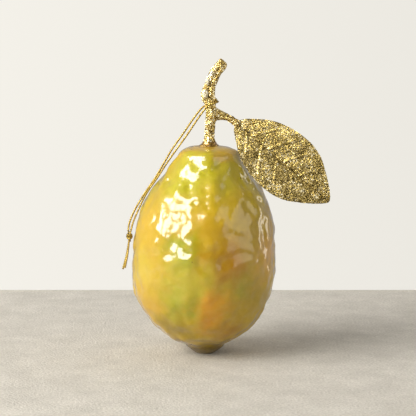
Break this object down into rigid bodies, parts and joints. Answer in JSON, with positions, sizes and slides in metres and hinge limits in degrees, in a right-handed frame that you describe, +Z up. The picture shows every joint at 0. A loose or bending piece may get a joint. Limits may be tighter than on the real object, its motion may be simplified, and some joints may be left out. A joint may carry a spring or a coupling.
{
  "type": "lemon ornament",
  "caption": "Life-size hollow glass lemon ornament on a small flat foot, with a glittered twig and leaf in its neck and a knotted loop of gold cord to hang it by.",
  "frame": {"origin": "centre of the small flat foot at the fruit's tip, on the fruit's axis", "axes": "+Z up from the foot through the neck to the twig, +X towards the leaf, -Y towards the front, where the leaf shows its upper face"},
  "size_m": [0.0937, 0.0648, 0.1334],
  "materials": {
    "painted_glass": "dimpled blown glass, painted lemon yellow with green and ochre washes under a glossy pearl lacquer",
    "twig_glitter": "moulded twig thickly coated with fine gold glitter",
    "leaf_glitter": "embossed leaf coated on both faces with coarser gold and olive glitter",
    "gold_cord": "twisted metallic gold thread",
    "glue": "glossy bead of gold-tinted glue dusted with glitter",
    "iron_wire": "plain soft iron wire",
    "cork": "plain cork"
  },
  "bodies": {
    "root": {"glass_body": "painted_glass", "neck_stopper": "cork", "glue_collar": "glue", "stem_wire": "iron_wire", "stem_twig": "twig_glitter", "leaf_wire": "iron_wire", "leaf_stalk": "twig_glitter", "leaf_blade": "leaf_glitter", "cord_front": "gold_cord", "cord_back": "gold_cord", "cord_knot": "gold_cord", "cord_tail_front": "gold_cord", "cord_tail_back": "gold_cord"}
  },
  "joints": []
}
